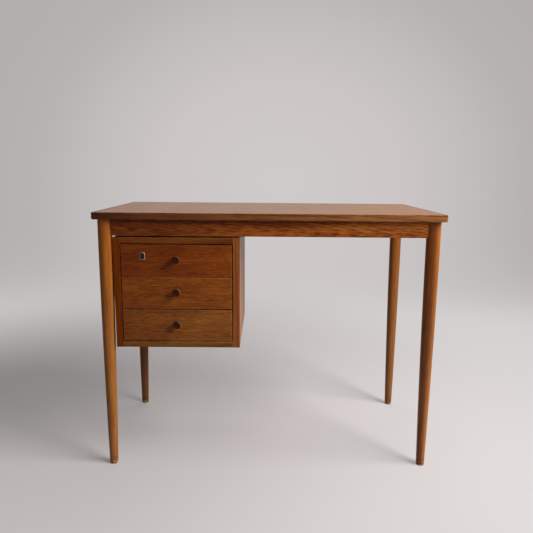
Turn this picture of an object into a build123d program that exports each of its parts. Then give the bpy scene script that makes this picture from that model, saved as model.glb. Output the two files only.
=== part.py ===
from build123d import *

import os

# A writing desk in teak: a lipped top on four turned legs and an apron frame, with a case of three
# drawers hung under its left half on spacers. Millimetres, +Z up, +X to the sitter's right and -Y towards
# the sitter. The origin is the middle of the footprint, on the floor.

# ---------------------------------------------------------------- driving dimensions
# Table top
top_width = 950.0
top_depth = 500.0
top_thickness = 19.0
desk_height = 740.0
lipping_width = 8.0
top_corner_radius = 4.0
top_upper_arris = 1.0
top_lower_arris = 3.5

# Turned legs: axis inset from the edges of the top, and how far the foot stands out sideways from it
leg_inset_x = 27.0
leg_inset_y = 33.0
leg_splay = 6.0
leg_top_diameter = 38.6
leg_middle_diameter = 34.8
leg_foot_diameter = 23.6
leg_foot_arris = 2.0

# Apron frame
apron_height = 45.0
apron_thickness = 19.0
apron_arris = 1.0
tenon_thickness = 9.0
tenon_shoulder = 5.0
tenon_stop = 8.0
cope_clearance = 0.15

# Corner blocks, each with a bolt into its leg
block_near = 16.0
block_far = 46.0
block_height = 30.0
block_screw_along = 26.0
block_screw_in = 8.0
bolt_diameter = 6.0
bolt_seat = 11.0
bolt_tail = 8.0
nut_across_flats = 10.0
nut_height = 5.0
washer_diameter = 14.0
washer_thickness = 1.2

# Rails that carry the drawer case
rail_thickness = 22.0
rail_inset = 60.0
rail_screw_inset = 60.0
rail_recess_diameter = 11.0

# Drawer case
case_width = 347.0
case_height = 311.0
case_depth = 387.0
case_leg_gap = 0.8
case_hang_gap = 4.0
side_thickness = 19.0
panel_thickness = 17.0
back_thickness = 5.0
back_rabbet = 8.0
case_arris = 0.8
case_shoulder_radius = 3.0
dowel_diameter = 8.0
dowel_length = 30.0
dowel_depth = 11.0
dowel_inset = 45.0
spacer_diameter = 22.0

# Drawers: gaps above the top front, between the fronts, and below the lowest one
front_gaps = (3.0, 1.0, 2.5, 2.0)
front_side_gap = 2.5
front_thickness = 16.0
front_arris = 0.8
box_side_thickness = 12.0
box_drop = 7.0
box_rise = 8.5
box_back_clearance = 37.0
box_back_thickness = 10.0
box_back_housing = 3.0
bottom_thickness = 4.0
bottom_rise = 8.0
bottom_tongue = 5.0
tail_count = 3
tail_length = 11.0
tail_gap = 6.5
tail_flare = 2.5

# Runners, which stand in grooves in the drawer sides
runner_height = 9.0
groove_depth = 5.5
runner_clearance = 0.3
groove_start = 30.0
runner_screw_inset = 40.0

# Turned knobs
knob_diameter = 22.0
knob_neck_diameter = 12.0
knob_base_diameter = 14.0
knob_length = 20.0
knob_neck_height = 4.5
knob_head_thickness = 9.0
knob_head_rounding = 0.9
knob_rim_height = 1.2
knob_rim_width = 2.2
knob_dish_depth = 1.4
knob_above_middle = 5.0

# Lock of the top drawer
lock_from_middle = 93.0
lock_below_edge = 31.0
lock_width = 40.0
lock_height = 46.0
lock_plate_thickness = 1.5
lock_body_width = 22.0
lock_body_height = 40.0
lock_depth = 10.0
lock_bolt_width = 14.0
lock_bolt_thickness = 4.0
lock_bolt_length = 24.0
lock_bolt_play = 0.3
lock_bolt_arris = 0.5
lock_throw = 8.0
lock_mortise_play = 1.0
escutcheon_width = 17.0
escutcheon_height = 24.0
escutcheon_thickness = 1.4
escutcheon_arris = 0.8
keyhole_diameter = 6.0
keyhole_rise = 5.0
keyhole_slot_width = 2.8
keyhole_slot_drop = 11.0

# Screws: the clearance of their bores, their points, and how far each kind reaches into its last piece
screw_clearance = 0.1
screw_tip = 3.0
top_screw_grip = 12.0
hanger_screw_grip = 19.0
runner_screw_grip = 10.0
box_screw_grip = 10.0
knob_screw_grip = 11.0
lock_screw_grip = 9.0
lock_screw_inset = 5.0

# ---------------------------------------------------------------- places worked out from them
top_underside = desk_height - top_thickness
leg_x = top_width / 2 - leg_inset_x
leg_y = top_depth / 2 - leg_inset_y
apron_underside = top_underside - apron_height
inner_x = leg_x - apron_thickness / 2
inner_y = leg_y - apron_thickness / 2
tenon_height = apron_height - 2 * tenon_shoulder

case_left = -leg_x + leg_top_diameter / 2 + case_leg_gap
case_x = case_left + case_width / 2
case_front = -leg_y - apron_thickness / 2
case_top_z = apron_underside - case_hang_gap
case_bottom_z = case_top_z - case_height
case_back_y = case_front + case_depth
case_inner_width = case_width - 2 * side_thickness
case_inner_height = case_height - 2 * panel_thickness
panel_depth = case_depth - back_thickness

front_width = case_inner_width - 2 * front_side_gap
front_height = (case_inner_height - sum(front_gaps)) / 3
front_back_y = case_front + front_thickness
box_back_y = case_back_y - back_thickness - box_back_clearance
box_side_height = front_height - box_drop - box_rise
box_inner_width = front_width - 2 * box_side_thickness
runner_reach = front_side_gap + groove_depth - runner_clearance
groove_height = runner_height + 2 * runner_clearance
groove_y = case_front + groove_start
runner_y = groove_y + runner_clearance
runner_end_y = case_back_y - back_thickness
case_middle_y = (case_front + case_back_y) / 2

legs = {
    "front_left": (-1, -1),
    "front_right": (1, -1),
    "back_left": (-1, 1),
    "back_right": (1, 1),
}
sides = {"left": -1, "right": 1}


def front_bottom_z(drawer):
    """Height of the lower edge of a drawer's front: drawer 1 is the top one."""
    above = sum(front_gaps[:drawer]) + drawer * front_height
    return case_top_z - panel_thickness - above


def save(piece, name):
    """Labels a finished piece and writes its STEP file."""
    piece.part.label = name
    export_step(piece.part, f"parts/{name}.step")


def screw_form(length, shank, head, allowance=0.0):
    """A countersunk wood screw with its head's face at z = 0 and its tip up, grown by an allowance."""
    head_radius = head / 2 + allowance
    shank_radius = shank / 2 + allowance
    head_depth = head_radius - shank_radius
    with BuildPart() as screw:
        with BuildSketch(Plane.XZ):
            with BuildLine():
                Polyline(
                    (0, 0),
                    (head_radius, 0),
                    (shank_radius, head_depth),
                    (shank_radius, length - screw_tip + allowance),
                    (0, length + allowance),
                    close=True,
                )
            make_face()
        revolve(axis=Axis.Z)
    return screw.part


def screw_and_bore(length, shank, head):
    """A screw, and the slightly larger form that bores and countersinks its hole."""
    return screw_form(length, shank, head), screw_form(length, shank, head, screw_clearance)


hanger_screw_length = panel_thickness + case_hang_gap + hanger_screw_grip
top_screw, top_screw_bore = screw_and_bore(block_height + top_screw_grip, 4.5, 9.0)
hanger_screw, hanger_screw_bore = screw_and_bore(hanger_screw_length, 4.5, 9.0)
runner_screw, runner_screw_bore = screw_and_bore(runner_reach + runner_screw_grip, 3.0, 6.0)
box_screw, box_screw_bore = screw_and_bore(bottom_thickness + box_screw_grip, 2.5, 5.0)
knob_screw, knob_screw_bore = screw_and_bore(front_thickness + knob_screw_grip, 4.0, 8.0)
lock_screw, lock_screw_bore = screw_and_bore(lock_plate_thickness + lock_screw_grip, 2.0, 4.0)


# ---------------------------------------------------------------- table top
def top_blank():
    """The whole top's outer form, from which the core and each lipping are taken."""
    with BuildPart() as blank:
        with BuildSketch(Plane.XY.offset(top_underside)):
            RectangleRounded(top_width, top_depth, top_corner_radius)
        extrude(amount=top_thickness)
        fillet(blank.faces().sort_by(Axis.Z)[-1].edges(), top_upper_arris)
        fillet(blank.faces().sort_by(Axis.Z)[0].edges(), top_lower_arris)
    return blank.part


rail_x = {side: case_x + sign * (case_width / 2 - rail_inset) for side, sign in sides.items()}
block_screw_x = inner_x - block_screw_along
block_screw_y = inner_y - block_screw_in
block_screw_places = [
    Location((x * block_screw_x, y * block_screw_y, top_underside - block_height)) for x, y in legs.values()
]
rail_screw_places = [
    Location((x, y * (inner_y - rail_screw_inset), top_underside - block_height))
    for x in rail_x.values()
    for y in (-1, 1)
]


def make_top():
    """Veneered core, four mitred solid lippings, and the screws that hold the top down."""
    blank = top_blank()
    core_width = top_width - 2 * lipping_width
    core_depth = top_depth - 2 * lipping_width
    with BuildPart() as core:
        with BuildSketch(Plane.XY.offset(top_underside)):
            Rectangle(core_width, core_depth)
        extrude(amount=top_thickness)
        with Locations(*block_screw_places, *rail_screw_places):
            add(top_screw_bore, mode=Mode.SUBTRACT)
    save(core, "top_core")

    outer_x, outer_y = top_width / 2, top_depth / 2
    edge_x, edge_y = core_width / 2, core_depth / 2
    mitres = {
        "front": [(-outer_x, -outer_y), (outer_x, -outer_y), (edge_x, -edge_y), (-edge_x, -edge_y)],
        "back": [(-outer_x, outer_y), (outer_x, outer_y), (edge_x, edge_y), (-edge_x, edge_y)],
        "left": [(-outer_x, -outer_y), (-outer_x, outer_y), (-edge_x, edge_y), (-edge_x, -edge_y)],
        "right": [(outer_x, -outer_y), (outer_x, outer_y), (edge_x, edge_y), (edge_x, -edge_y)],
    }
    for edge, corners in mitres.items():
        with BuildPart() as lipping:
            add(blank)
            with BuildSketch(Plane.XY.offset(top_underside)):
                with BuildLine():
                    Polyline(*corners, close=True)
                make_face()
            extrude(amount=top_thickness, mode=Mode.INTERSECT)
        save(lipping, f"top_lipping_{edge}")

    with BuildPart() as top_screws:
        with Locations(*block_screw_places, *rail_screw_places):
            add(top_screw)
    save(top_screws, "top_screws")


# ---------------------------------------------------------------- legs and apron frame
leg_trim = 1.0


def turned_form(side_x, side_y, allowance=0.0):
    """A leg's turned form on its splayed axis, a little long at the top, grown by an allowance.
    Its sole is square to the axis and touches the floor at its rim."""
    shoulder = Vector(side_x * leg_x, side_y * leg_y, top_underside)
    foot = Vector(side_x * (leg_x + leg_splay), side_y * leg_y, 0)
    along = (shoulder - foot).normalized()
    across = along.cross(Vector(0, 1, 0)).normalized()
    foot_radius = leg_foot_diameter / 2 + allowance
    middle_radius = leg_middle_diameter / 2 + allowance
    top_radius = leg_top_diameter / 2 + allowance
    sole_radius = foot_radius - leg_foot_arris
    sole = sole_radius * (1 - along.Z**2) ** 0.5
    length = (shoulder - foot).length + leg_trim
    with BuildPart() as form:
        with BuildSketch(Plane(origin=foot, x_dir=across, z_dir=across.cross(along))):
            with BuildLine():
                Polyline((sole_radius, sole), (0, sole), (0, length), (top_radius, length))
                Spline(
                    (top_radius, length),
                    (middle_radius, length / 2),
                    (foot_radius, sole + leg_foot_arris),
                )
                TangentArc((sole_radius, sole), (foot_radius, sole + leg_foot_arris), tangent=(1, 0))
            make_face()
        revolve(axis=Axis(foot, along))
    return form.part


def bolt_place(side_x, side_y):
    """A corner bolt's place: its end in the leg, with +Z running inwards along the diagonal."""
    inwards = Vector(-side_x, -side_y, 0).normalized()
    start = Vector(side_x * leg_x, side_y * leg_y, top_underside - block_height / 2) + inwards * bolt_seat
    return Plane(origin=start, z_dir=inwards).location


block_face_distance = (apron_thickness / 2 + block_far / 2) * 2**0.5 - bolt_seat


def make_corner_bolt():
    """A threaded stud that stands in the leg, with its washer and nut against the corner block."""
    with BuildPart() as bolt:
        Cylinder(
            bolt_diameter / 2,
            block_face_distance + bolt_tail,
            align=(Align.CENTER, Align.CENTER, Align.MIN),
        )
        with BuildSketch(Plane.XY.offset(block_face_distance)):
            Circle(washer_diameter / 2)
        extrude(amount=washer_thickness)
        with BuildSketch(Plane.XY.offset(block_face_distance + washer_thickness)):
            RegularPolygon(nut_across_flats / 2, 6, major_radius=False)
        extrude(amount=nut_height)
    return bolt.part


def make_legs():
    """Four turned legs, mortised for the aprons and bored for the corner bolts."""
    tenon_x = 2 * (leg_x - tenon_stop)
    tenon_y = 2 * (leg_y - tenon_stop)
    tenon_z = apron_underside + apron_height / 2
    for corner, (side_x, side_y) in legs.items():
        blank = turned_form(side_x, side_y)
        with BuildPart() as leg:
            add(blank)
            split(bisect_by=Plane.XY.offset(top_underside), keep=Keep.BOTTOM)
            with Locations((0, side_y * leg_y, tenon_z)):
                Box(tenon_x, tenon_thickness, tenon_height, mode=Mode.SUBTRACT)
            with Locations((side_x * leg_x, 0, tenon_z)):
                Box(tenon_thickness, tenon_y, tenon_height, mode=Mode.SUBTRACT)
            with Locations(bolt_place(side_x, side_y)):
                Cylinder(
                    bolt_diameter / 2 + screw_clearance,
                    leg_top_diameter,
                    align=(Align.CENTER, Align.CENTER, Align.MIN),
                    mode=Mode.SUBTRACT,
                )
        save(leg, f"leg_{corner}")


def make_aprons():
    """Four aprons, coped round the legs at their ends, with a tenon into each leg."""
    rounds = {corner: turned_form(*at, cope_clearance) for corner, at in legs.items()}
    ends = {
        "front": ("front_left", "front_right"),
        "back": ("back_left", "back_right"),
        "left": ("front_left", "back_left"),
        "right": ("front_right", "back_right"),
    }
    places = {"front": (0, -leg_y), "back": (0, leg_y), "left": (-leg_x, 0), "right": (leg_x, 0)}
    for name, (x, y) in places.items():
        crosswise = name in sides
        span = leg_y if crosswise else leg_x
        turn = 90 if crosswise else 0
        place = Location((x, y, apron_underside + apron_height / 2), (0, 0, turn))
        with BuildPart() as apron:
            with Locations(place):
                Box(2 * span, apron_thickness, apron_height)
            long_edges = apron.edges().filter_by(Axis.Y if crosswise else Axis.X)
            fillet(long_edges.group_by(Axis.Z)[0], apron_arris)
            for corner in ends[name]:
                add(rounds[corner], mode=Mode.SUBTRACT)
            with Locations(place):
                Box(2 * (span - tenon_stop), tenon_thickness, tenon_height)
        save(apron, f"apron_{name}")


def make_corner_blocks():
    """Corner blocks glued between the aprons, screwed to the top and bolted to the legs."""
    for corner, (side_x, side_y) in legs.items():
        reach_x, reach_y = side_x * inner_x, side_y * inner_y
        with BuildPart() as block:
            with BuildSketch(Plane.XY.offset(top_underside - block_height)):
                with BuildLine():
                    Polyline(
                        (reach_x - side_x * block_near, reach_y),
                        (reach_x - side_x * block_far, reach_y),
                        (reach_x, reach_y - side_y * block_far),
                        (reach_x, reach_y - side_y * block_near),
                        close=True,
                    )
                make_face()
            extrude(amount=block_height)
            with Locations(*block_screw_places):
                add(top_screw_bore, mode=Mode.SUBTRACT)
            with Locations(bolt_place(side_x, side_y)):
                Cylinder(
                    bolt_diameter / 2 + screw_clearance,
                    block_face_distance + bolt_tail,
                    align=(Align.CENTER, Align.CENTER, Align.MIN),
                    mode=Mode.SUBTRACT,
                )
        save(block, f"corner_block_{corner}")

    corner_bolt = make_corner_bolt()
    with BuildPart() as bolts:
        with Locations(*[bolt_place(*at) for at in legs.values()]):
            add(corner_bolt)
    save(bolts, "leg_bolts")


# ---------------------------------------------------------------- rails that carry the case
hanger_places = [
    Location((x, y, case_top_z - panel_thickness))
    for x in rail_x.values()
    for y in (case_front + rail_screw_inset, case_back_y - rail_screw_inset)
]


def make_rails():
    """Two rails between the front and back aprons, and the spacers and screws that hang the case."""
    recess_height = apron_height - block_height
    for side, x in rail_x.items():
        with BuildPart() as rail:
            with Locations((x, 0, apron_underside + apron_height / 2)):
                Box(rail_thickness, 2 * inner_y, apron_height)
            with Locations(*rail_screw_places):
                add(top_screw_bore, mode=Mode.SUBTRACT)
                Cylinder(
                    rail_recess_diameter / 2,
                    recess_height,
                    align=(Align.CENTER, Align.CENTER, Align.MAX),
                    mode=Mode.SUBTRACT,
                )
            with Locations(*hanger_places):
                add(hanger_screw_bore, mode=Mode.SUBTRACT)
        save(rail, f"hanger_rail_{side}")

    with BuildPart() as spacers:
        with Locations(*[place * Location((0, 0, panel_thickness)) for place in hanger_places]):
            Cylinder(
                spacer_diameter / 2,
                case_hang_gap,
                align=(Align.CENTER, Align.CENTER, Align.MIN),
            )
        with Locations(*hanger_places):
            add(hanger_screw_bore, mode=Mode.SUBTRACT)
    save(spacers, "hanger_spacers")

    with BuildPart() as screws:
        with Locations(*hanger_places):
            add(hanger_screw)
    save(screws, "hanger_screws")


# ---------------------------------------------------------------- drawer case
dowel_ys = (case_front + dowel_inset, case_middle_y, case_back_y - dowel_inset)
dowel_places = [
    Location((case_x + side * (case_inner_width / 2 + dowel_depth), y, z), (0, -side * 90, 0))
    for side in sides.values()
    for y in dowel_ys
    for z in (case_bottom_z + panel_thickness / 2, case_top_z - panel_thickness / 2)
]
runner_rise = -box_drop - box_side_height / 2
runner_ys = (runner_y + runner_screw_inset, runner_end_y - runner_screw_inset)


def runner_z(drawer):
    """Height of the middle of a drawer's two runners."""
    return front_bottom_z(drawer) + front_height + runner_rise


def runner_screw_places(side, drawer):
    """Places of the screws of one runner, their heads sunk in its face, pointing into the case side."""
    x = case_x + side * (case_inner_width / 2 - runner_reach)
    return [Location((x, y, runner_z(drawer)), (0, side * 90, 0)) for y in runner_ys]


all_runner_screw_places = [
    place for side in sides.values() for drawer in (1, 2, 3) for place in runner_screw_places(side, drawer)
]


def cut_dowel_holes():
    """Bores the dowel holes in the piece being built."""
    with Locations(*dowel_places):
        Cylinder(
            dowel_diameter / 2 + screw_clearance,
            dowel_length,
            align=(Align.CENTER, Align.CENTER, Align.MIN),
            mode=Mode.SUBTRACT,
        )


def lock_bolt_y():
    """How far back the middle of the lock's bolt stands."""
    return front_back_y - lock_depth / 2


def make_case():
    """Side, top and bottom panels joined by dowels, and a thin back in rabbets."""
    for side, sign in sides.items():
        with BuildPart() as panel:
            with Locations((case_x + sign * (case_width - side_thickness) / 2, case_front, case_bottom_z)):
                Box(
                    side_thickness,
                    case_depth,
                    case_height,
                    align=(Align.CENTER, Align.MIN, Align.MIN),
                )
            outer_edges = panel.edges().filter_by(Axis.Y).group_by(Axis.Z)[-1].sort_by(Axis.X)
            fillet(outer_edges[0 if sign < 0 else -1], case_shoulder_radius)
            fillet(panel.faces().sort_by(Axis.Y)[0].edges().filter_by(Axis.Z), case_arris)
            rabbet_x = case_x + sign * (case_inner_width / 2 + back_rabbet / 2)
            with Locations((rabbet_x, case_back_y - back_thickness / 2, case_bottom_z + case_height / 2)):
                Box(back_rabbet, back_thickness, case_height, mode=Mode.SUBTRACT)
            cut_dowel_holes()
            with Locations(*all_runner_screw_places):
                add(runner_screw_bore, mode=Mode.SUBTRACT)
        save(panel, f"case_side_{side}")

    panel_heights = {"bottom": case_bottom_z, "top": case_top_z - panel_thickness}
    for name, z in panel_heights.items():
        with BuildPart() as panel:
            with Locations((case_x, case_front, z)):
                Box(
                    case_inner_width,
                    panel_depth,
                    panel_thickness,
                    align=(Align.CENTER, Align.MIN, Align.MIN),
                )
            fillet(panel.faces().sort_by(Axis.Y)[0].edges().filter_by(Axis.X), case_arris)
            cut_dowel_holes()
            with Locations(*hanger_places):
                add(hanger_screw_bore, mode=Mode.SUBTRACT)
            with Locations((case_x - lock_from_middle, lock_bolt_y(), case_top_z - panel_thickness)):
                Box(
                    lock_bolt_width + 2 * lock_mortise_play,
                    lock_bolt_thickness + 2 * lock_mortise_play,
                    lock_throw + lock_mortise_play - front_gaps[0],
                    align=(Align.CENTER, Align.CENTER, Align.MIN),
                    mode=Mode.SUBTRACT,
                )
        save(panel, f"case_{name}")

    with BuildPart() as back:
        with Locations((case_x, case_back_y - back_thickness / 2, case_bottom_z + case_height / 2)):
            Box(case_inner_width + 2 * back_rabbet, back_thickness, case_height)
    save(back, "case_back")

    with BuildPart() as dowels:
        with Locations(*dowel_places):
            Cylinder(
                dowel_diameter / 2,
                dowel_length,
                align=(Align.CENTER, Align.CENTER, Align.MIN),
            )
    save(dowels, "case_dowels")


def make_runners():
    """A hardwood runner on each side for each drawer, and their screws."""
    for drawer in (1, 2, 3):
        for side, sign in sides.items():
            x = case_x + sign * (case_inner_width - runner_reach) / 2
            with BuildPart() as runner:
                with Locations((x, runner_y, runner_z(drawer))):
                    Box(
                        runner_reach,
                        runner_end_y - runner_y,
                        runner_height,
                        align=(Align.CENTER, Align.MIN, Align.CENTER),
                    )
                with Locations(*runner_screw_places(sign, drawer)):
                    add(runner_screw_bore, mode=Mode.SUBTRACT)
            save(runner, f"runner_{drawer}_{side}")

    with BuildPart() as screws:
        with Locations(*all_runner_screw_places):
            add(runner_screw)
    save(screws, "runner_screws")


# ---------------------------------------------------------------- drawers
def box_base_z(drawer):
    """Height of the lower edge of a drawer's sides."""
    return front_bottom_z(drawer) + front_height - box_drop - box_side_height


def cut_or_add_tails(drawer, side, mode):
    """The dovetails of one drawer side, which reach into the back of the front."""
    pitch = box_side_height / tail_count
    tip = (pitch - tail_gap) / 2
    root = tip - tail_flare
    outer_x = case_x + side * front_width / 2
    inner = outer_x - side * box_side_thickness
    left_x = min(outer_x, inner)
    tip_y = front_back_y - tail_length
    with BuildSketch(Plane.YZ.offset(left_x)) as tails:
        for tail in range(tail_count):
            z = box_base_z(drawer) + (tail + 0.5) * pitch
            with BuildLine():
                Polyline(
                    (tip_y, z - tip),
                    (tip_y, z + tip),
                    (front_back_y, z + root),
                    (front_back_y, z - root),
                    close=True,
                )
            make_face()
    extrude(tails.sketch, amount=box_side_thickness, mode=mode)


def bottom_panel_box(drawer, mode):
    """The drawer's bottom panel, which stands in grooves in the front and the sides."""
    front_y = front_back_y - bottom_tongue
    with Locations((case_x, front_y, box_base_z(drawer) + bottom_rise)):
        Box(
            box_inner_width + 2 * bottom_tongue,
            box_back_y - front_y,
            bottom_thickness,
            align=(Align.CENTER, Align.MIN, Align.MIN),
            mode=mode,
        )


def knob_z(drawer):
    """Height of a drawer's knob."""
    return front_bottom_z(drawer) + front_height / 2 + knob_above_middle


def knob_screw_place(drawer):
    """The knob's screw, with its head sunk in the back of the front and its tip forward."""
    return Location((case_x, front_back_y, knob_z(drawer)), (90, 0, 0))


def box_screw_places(drawer):
    """The screws that hold the bottom panel up to the drawer's back."""
    y = box_back_y - box_back_thickness / 2
    return [
        Location((case_x + x * box_inner_width / 4, y, box_base_z(drawer) + bottom_rise)) for x in (-1, 1)
    ]


lock_x = case_x - lock_from_middle
lock_top_z = front_bottom_z(1) + front_height
keyhole_z = lock_top_z - lock_below_edge + keyhole_rise
lock_screw_places = [
    Location((lock_x + x * (lock_width / 2 - lock_screw_inset), front_back_y, z), (90, 0, 0))
    for x in (-1, 1)
    for z in (lock_top_z - lock_screw_inset, lock_top_z - lock_height + lock_screw_inset)
]


def cut_keyhole(y, depth):
    """Cuts the keyhole, a round hole over a narrow slot, forwards from y through the piece being built."""
    with BuildSketch(Plane.XZ.offset(-y)) as keyhole:
        with Locations((lock_x, keyhole_z)):
            Circle(keyhole_diameter / 2)
        with Locations((lock_x, keyhole_z - keyhole_slot_drop / 2)):
            Rectangle(keyhole_slot_width, keyhole_slot_drop)
    extrude(keyhole.sketch, amount=depth, mode=Mode.SUBTRACT)


def lock_form(mode):
    """The lock's outer form, let in flush with the back and the top edge of the drawer front."""
    hung = (Align.CENTER, Align.MAX, Align.MAX)
    with Locations((lock_x, front_back_y, lock_top_z)):
        Box(lock_width, lock_plate_thickness, lock_height, align=hung, mode=mode)
        Box(lock_width, lock_depth, lock_plate_thickness, align=hung, mode=mode)
        Box(lock_body_width, lock_depth, lock_body_height, align=hung, mode=mode)


def make_drawer(drawer):
    """One drawer: a front with lapped dovetails, two grooved sides, a back, a bottom and a turned knob."""
    with BuildPart() as front:
        with Locations((case_x, case_front, front_bottom_z(drawer))):
            Box(
                front_width,
                front_thickness,
                front_height,
                align=(Align.CENTER, Align.MIN, Align.MIN),
            )
        fillet(front.faces().sort_by(Axis.Y)[0].edges(), front_arris)
        for side in sides.values():
            cut_or_add_tails(drawer, side, Mode.SUBTRACT)
        bottom_panel_box(drawer, Mode.SUBTRACT)
        with Locations(knob_screw_place(drawer)):
            add(knob_screw_bore, mode=Mode.SUBTRACT)
        if drawer == 1:
            lock_form(Mode.SUBTRACT)
            with Locations(*lock_screw_places):
                add(lock_screw_bore, mode=Mode.SUBTRACT)
            cut_keyhole(front_back_y, front_thickness)
    save(front, f"drawer_{drawer}_front")

    for side, sign in sides.items():
        x = case_x + sign * (front_width - box_side_thickness) / 2
        groove_x = case_x + sign * (front_width - groove_depth) / 2
        with BuildPart() as board:
            with Locations((x, front_back_y, box_base_z(drawer))):
                Box(
                    box_side_thickness,
                    box_back_y - front_back_y,
                    box_side_height,
                    align=(Align.CENTER, Align.MIN, Align.MIN),
                )
            cut_or_add_tails(drawer, sign, Mode.ADD)
            with Locations((groove_x, groove_y, runner_z(drawer))):
                Box(
                    groove_depth,
                    box_back_y - groove_y,
                    groove_height,
                    align=(Align.CENTER, Align.MIN, Align.CENTER),
                    mode=Mode.SUBTRACT,
                )
            bottom_panel_box(drawer, Mode.SUBTRACT)
            drawer_back_box(drawer, Mode.SUBTRACT)
        save(board, f"drawer_{drawer}_side_{side}")

    with BuildPart() as back:
        drawer_back_box(drawer, Mode.ADD)
        with Locations(*box_screw_places(drawer)):
            add(box_screw_bore, mode=Mode.SUBTRACT)
    save(back, f"drawer_{drawer}_back")

    with BuildPart() as bottom:
        bottom_panel_box(drawer, Mode.ADD)
        with Locations(*box_screw_places(drawer)):
            add(box_screw_bore, mode=Mode.SUBTRACT)
    save(bottom, f"drawer_{drawer}_bottom")

    make_knob(drawer)
    with BuildPart() as screws:
        with Locations(knob_screw_place(drawer)):
            add(knob_screw)
        with Locations(*box_screw_places(drawer)):
            add(box_screw)
        if drawer == 1:
            with Locations(*lock_screw_places):
                add(lock_screw)
    save(screws, f"drawer_{drawer}_screws")


def drawer_back_box(drawer, mode):
    """The drawer's back, housed in its sides and standing on the bottom panel."""
    base_z = box_base_z(drawer) + bottom_rise + bottom_thickness
    with Locations((case_x, box_back_y, base_z)):
        Box(
            box_inner_width + 2 * box_back_housing,
            box_back_thickness,
            box_side_height - bottom_rise - bottom_thickness,
            align=(Align.CENTER, Align.MAX, Align.MIN),
            mode=mode,
        )


def make_knob(drawer):
    """A turned knob: a flared base, a neck and a rounded head with a shallow dish in its face."""
    head_radius = knob_diameter / 2
    base = (knob_base_diameter / 2, 0)
    neck = (knob_neck_diameter / 2, knob_neck_height)
    shoulder = (head_radius - knob_head_rounding, knob_length - knob_head_thickness)
    widest = (head_radius, knob_length - knob_head_thickness / 2)
    face_edge = (head_radius - knob_head_rounding, knob_length - knob_rim_height)
    rim = (head_radius - knob_rim_width, knob_length)
    dish = (0, knob_length - knob_dish_depth)
    centre = (case_x, case_front, knob_z(drawer))
    with BuildPart() as knob:
        with BuildSketch(Plane(origin=centre, x_dir=(1, 0, 0), z_dir=(0, 0, -1))):
            with BuildLine():
                Polyline(dish, (0, 0), base)
                ThreePointArc(base, neck, shoulder)
                ThreePointArc(shoulder, widest, face_edge)
                Line(face_edge, rim)
                Spline(rim, dish, tangents=((-1, -0.5), (-1, 0)))
            make_face()
        revolve(axis=Axis(centre, (0, -1, 0)))
        with Locations(knob_screw_place(drawer)):
            add(knob_screw_bore, mode=Mode.SUBTRACT)
    save(knob, f"drawer_{drawer}_knob")


# ---------------------------------------------------------------- lock of the top drawer
def make_lock():
    """The lock's case on its plate, its sliding bolt and the escutcheon round the keyhole."""
    bolt_centre = (lock_x, lock_bolt_y(), lock_top_z)
    slot_width = lock_bolt_width + 2 * lock_bolt_play
    slot_thickness = lock_bolt_thickness + 2 * lock_bolt_play
    with BuildPart() as lock_case:
        lock_form(Mode.ADD)
        with Locations(bolt_centre):
            Box(
                slot_width,
                slot_thickness,
                lock_bolt_length + lock_bolt_play,
                align=(Align.CENTER, Align.CENTER, Align.MAX),
                mode=Mode.SUBTRACT,
            )
        with Locations(*lock_screw_places):
            add(lock_screw_bore, mode=Mode.SUBTRACT)
        cut_keyhole(lock_bolt_y(), lock_depth)
    save(lock_case, "lock_case")

    with BuildPart() as bolt:
        with Locations(bolt_centre):
            Box(
                lock_bolt_width,
                lock_bolt_thickness,
                lock_bolt_length,
                align=(Align.CENTER, Align.CENTER, Align.MAX),
            )
        fillet(bolt.faces().sort_by(Axis.Z)[-1].edges(), lock_bolt_arris)
    save(bolt, "lock_bolt")

    arch_radius = escutcheon_width / 2
    arch_z = lock_top_z - lock_below_edge + escutcheon_height / 2 - arch_radius
    straight = escutcheon_height - arch_radius
    with BuildPart() as escutcheon:
        with BuildSketch(Plane.XZ.offset(-case_front)):
            with Locations((lock_x, arch_z)):
                Circle(arch_radius)
            with Locations((lock_x, arch_z - straight / 2)):
                Rectangle(escutcheon_width, straight)
        extrude(amount=escutcheon_thickness)
        fillet(escutcheon.faces().sort_by(Axis.Y)[0].edges(), escutcheon_arris)
        cut_keyhole(case_front, escutcheon_thickness)
    save(escutcheon, "escutcheon")


os.makedirs("parts", exist_ok=True)
make_top()
make_legs()
make_aprons()
make_corner_blocks()
make_rails()
make_case()
make_runners()
for drawer_number in (1, 2, 3):
    make_drawer(drawer_number)
make_lock()
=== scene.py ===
import math
from typing import NamedTuple

import bmesh
import bpy
from bpy.props import FloatProperty, FloatVectorProperty, PointerProperty
from mathutils import Matrix, Vector


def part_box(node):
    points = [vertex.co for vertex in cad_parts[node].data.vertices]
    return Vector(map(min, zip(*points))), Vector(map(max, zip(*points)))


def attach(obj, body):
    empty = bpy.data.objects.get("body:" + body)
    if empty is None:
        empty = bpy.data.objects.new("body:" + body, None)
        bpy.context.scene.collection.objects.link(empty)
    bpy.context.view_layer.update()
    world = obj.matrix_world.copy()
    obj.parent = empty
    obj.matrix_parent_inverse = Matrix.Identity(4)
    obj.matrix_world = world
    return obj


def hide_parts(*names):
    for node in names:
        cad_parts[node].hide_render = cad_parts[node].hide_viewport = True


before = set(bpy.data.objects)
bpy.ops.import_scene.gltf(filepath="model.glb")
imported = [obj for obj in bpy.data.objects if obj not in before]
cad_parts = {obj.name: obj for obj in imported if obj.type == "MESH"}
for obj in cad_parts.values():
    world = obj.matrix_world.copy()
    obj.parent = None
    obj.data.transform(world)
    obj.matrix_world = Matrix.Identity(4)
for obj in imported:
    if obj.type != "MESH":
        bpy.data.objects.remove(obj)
bpy.context.view_layer.update()

bl_info = {
    "name": "Writing desk finishes",
    "version": (1, 0, 0),
    "blender": (4, 5, 0),
    "location": "3D View > Sidebar > Desk",
    "description": "Finishes a small teak writing desk and its three drawers, and sets it on a studio floor",
    "category": "Object",
}

MM = 0.001
QUARTER = math.pi / 2

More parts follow.
